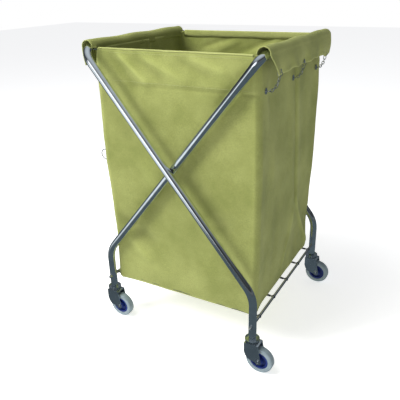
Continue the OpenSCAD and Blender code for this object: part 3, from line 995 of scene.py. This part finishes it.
build_bottom(*build_walls())
build_board()
build_hems()
SIDES = ((-1, "left"), (1, "right"))
for side, word in SIDES:
    build_flap(side, word + "_flap_cloth", word + "_flap")
build_wall_stitches()
for side, word in SIDES:
    build_flap_stitches(side, word + "_flap_stitches")
for side, word in SIDES:
    build_chains(side, word + "_link_chains", word + "_chains")
for side, word in SIDES:
    one_side_of("flap_rings", side, word + "_flap_rings", SMALL_PLATE)
    one_side_of("flap_eyelets", side, word + "_eyelets", SMALL_PLATE)
    one_side_of("panel_loops", side, word + "_panel_eyes", SMALL_PLATE,
                lambda co: (min(PANEL_EYE_Y, key=lambda y: abs(y - co.y)), PANEL_EYE_Z))
one_side_of("side_ring", -1, "wire_ring", SMALL_PLATE, lambda co: RING_PLACE)
one_side_of("side_ring_tab", -1, "ring_tab", CANVAS_TRIM,
            lambda co: (round(max(co.y, RING_PLACE[0]), 3), RING_PLACE[1]))
build_cords()

BEVELLED = ("fork", "hub", "axle_bolt", "axle_nut", "pivot_nuts")
SLOT_OF = {s["node"]: s["material_slot"] for s in frame["record"]["subparts"]}
for name, cad in frame["nodes"].items():
    cad.data.materials.clear()
    cad.data.materials.append(SLOT_MATERIALS[SLOT_OF[name]])
    for p in cad.data.polygons:
        p.use_smooth = True
    if not cad.hide_render:
        weld_twins(cad)
        if name.startswith(BEVELLED):
            round_edges(cad)
        smooth_by_angle(cad)

# ---------------------------------------------------------------- floor, light, camera


FLOOR_HALF = 12.0


def glow_towards(tree, vector, direction, color, start, end):
    """A soft bright patch where a vector points in a direction."""
    n = node(tree, "ShaderNodeVectorMath", operation="DOT_PRODUCT")
    tree.links.new(vector, n.inputs[0])
    n.inputs[1].default_value = Vector(direction).normalized()
    return ramp(tree, n.outputs["Value"], (0, 0, 0), color, start, end)


def mix_shaders(tree, fac, a, b):
    n = tree.nodes.new("ShaderNodeMixShader")
    for socket, source in zip(n.inputs, (fac, a, b)):
        tree.links.new(source, socket)
    return n.outputs[0]


def ray_is(tree, kind):
    return tree.nodes.new("ShaderNodeLightPath").outputs["Is %s Ray" % kind]


def add_floor():
    """Pale paint; polished parts see it darker, with a bright patch to the left of the front."""
    size = FLOOR_HALF
    verts = [(-size, -size, 0), (size, -size, 0), (size, size, 0), (-size, size, 0)]
    mesh = bpy.data.meshes.new("floor")
    mesh.from_pydata(verts, [], [(0, 1, 2, 3)])
    mesh.update()
    mat, tree, bsdf = new_material("floor_paint", (0.85, 0.85, 0.845), roughness=0.9)
    bsdf.inputs["Specular IOR Level"].default_value = 0.0
    bsdf.inputs["Emission Color"].default_value = (1, 1, 1, 1)
    bsdf.inputs["Emission Strength"].default_value = 0.62
    seen_in_chrome = tree.nodes.new("ShaderNodeEmission")
    coords = object_coords(tree)
    flat = node(tree, "ShaderNodeVectorMath", operation="NORMALIZE")
    tree.links.new(coords, flat.inputs[0])
    patch = glow_towards(tree, flat.outputs[0], (-0.62, -0.78, 0), (0.85, 0.88, 0.90), 0.84, 0.95)
    length = node(tree, "ShaderNodeVectorMath", operation="LENGTH")
    tree.links.new(coords, length.inputs[0])
    far = math_node(tree, "MULTIPLY", length.outputs["Value"], 0.25)
    reach = ramp(tree, far, (0, 0, 0), (1, 1, 1), 0.22, 0.40)
    glow = mix_color(tree, 1.0, patch, reach, "MULTIPLY")
    base = mix_color(tree, 1.0, glow, (0.08, 0.105, 0.12), "ADD")
    tree.links.new(base, seen_in_chrome.inputs["Color"])
    surface = mix_shaders(tree, ray_is(tree, "Glossy"), bsdf.outputs[0], seen_in_chrome.outputs[0])
    tree.links.new(surface, tree.nodes["Material Output"].inputs["Surface"])
    mesh.materials.append(mat)
    floor = bpy.data.objects.new("floor", mesh)
    bpy.context.scene.collection.objects.link(floor)


LIT_POINT = Vector((0, 0, 0.5))


def add_area_light(name, place, size, power):
    """A softbox that faces the middle of the trolley."""
    light = bpy.data.lights.new(name, "AREA")
    light.size = size
    light.energy = power
    lamp = bpy.data.objects.new(name, light)
    lamp.location = place
    lamp.rotation_euler = (LIT_POINT - Vector(place)).to_track_quat("-Z", "Y").to_euler()
    lamp.visible_glossy = False
    bpy.context.scene.collection.objects.link(lamp)


# brightness of the studio by height, as polished parts see it: 0 below, 0.5 level, 1 overhead
SKY_STOPS = [(0.0, 0.30), (0.50, 0.16), (0.56, 0.30), (0.62, 0.06),
             (0.73, 0.10), (0.86, 0.75), (1.0, 1.2)]


def add_world():
    """White to the camera; everything else sees a studio with a bright ceiling and darker walls."""
    world = bpy.data.worlds.new("studio")
    bpy.context.scene.world = world
    world.use_nodes = True
    tree = world.node_tree
    tree.nodes.clear()
    out = tree.nodes.new("ShaderNodeOutputWorld")
    coords = tree.nodes.new("ShaderNodeTexCoord").outputs["Generated"]
    up = split_xyz(tree, coords).outputs["Z"]
    height = math_node(tree, "ADD", math_node(tree, "MULTIPLY", up, 0.5), 0.5)
    bands = tree.nodes.new("ShaderNodeValToRGB")
    elements = bands.color_ramp.elements
    elements[0].position, elements[1].position = SKY_STOPS[0][0], SKY_STOPS[-1][0]
    for place, _ in SKY_STOPS[1:-1]:
        elements.new(place)
    for element, (_, value) in zip(elements, SKY_STOPS):
        element.color = (value * 0.93, value, value * 1.06, 1)
    tree.links.new(height, bands.inputs["Fac"])
    window = glow_towards(tree, coords, (-0.18, -0.96, 0.12), (2.8, 2.8, 2.9), 0.90, 0.965)
    mirror_sky = mix_color(tree, 1.0, bands.outputs["Color"], window, "ADD")
    sky = mix_color(tree, ray_is(tree, "Glossy"), (0.62, 0.63, 0.66), mirror_sky)
    studio = tree.nodes.new("ShaderNodeBackground")
    studio.inputs["Strength"].default_value = 0.52
    tree.links.new(sky, studio.inputs["Color"])
    white = tree.nodes.new("ShaderNodeBackground")
    white.inputs["Color"].default_value = (1, 1, 1, 1)
    seen = mix_shaders(tree, ray_is(tree, "Camera"), studio.outputs[0], white.outputs[0])
    tree.links.new(seen, out.inputs["Surface"])


def add_camera():
    azimuth, elevation, roll = math.radians(30.6), math.radians(24.0), math.radians(-1.66)
    target = Vector((-0.0455, -0.0269, 0.4144))
    distance = 1.747
    back = Vector((math.sin(azimuth) * math.cos(elevation),
                   -math.cos(azimuth) * math.cos(elevation), math.sin(elevation)))
    data = bpy.data.cameras.new("camera")
    data.lens = 43.8
    data.sensor_width = 36.0
    camera = bpy.data.objects.new("camera", data)
    turn = back.to_track_quat("Z", "Y").to_matrix() @ Matrix.Rotation(roll, 3, "Z")
    camera.matrix_world = Matrix.Translation(target + back * distance) @ turn.to_4x4()
    bpy.context.scene.collection.objects.link(camera)
    bpy.context.scene.camera = camera


add_floor()
add_world()
add_area_light("key", (-2.1, -2.3, 2.7), 1.1, 98)
add_area_light("top", (-0.8, -1.0, 3.2), 1.4, 58)
add_camera()
bpy.context.scene.view_settings.view_transform = "Standard"
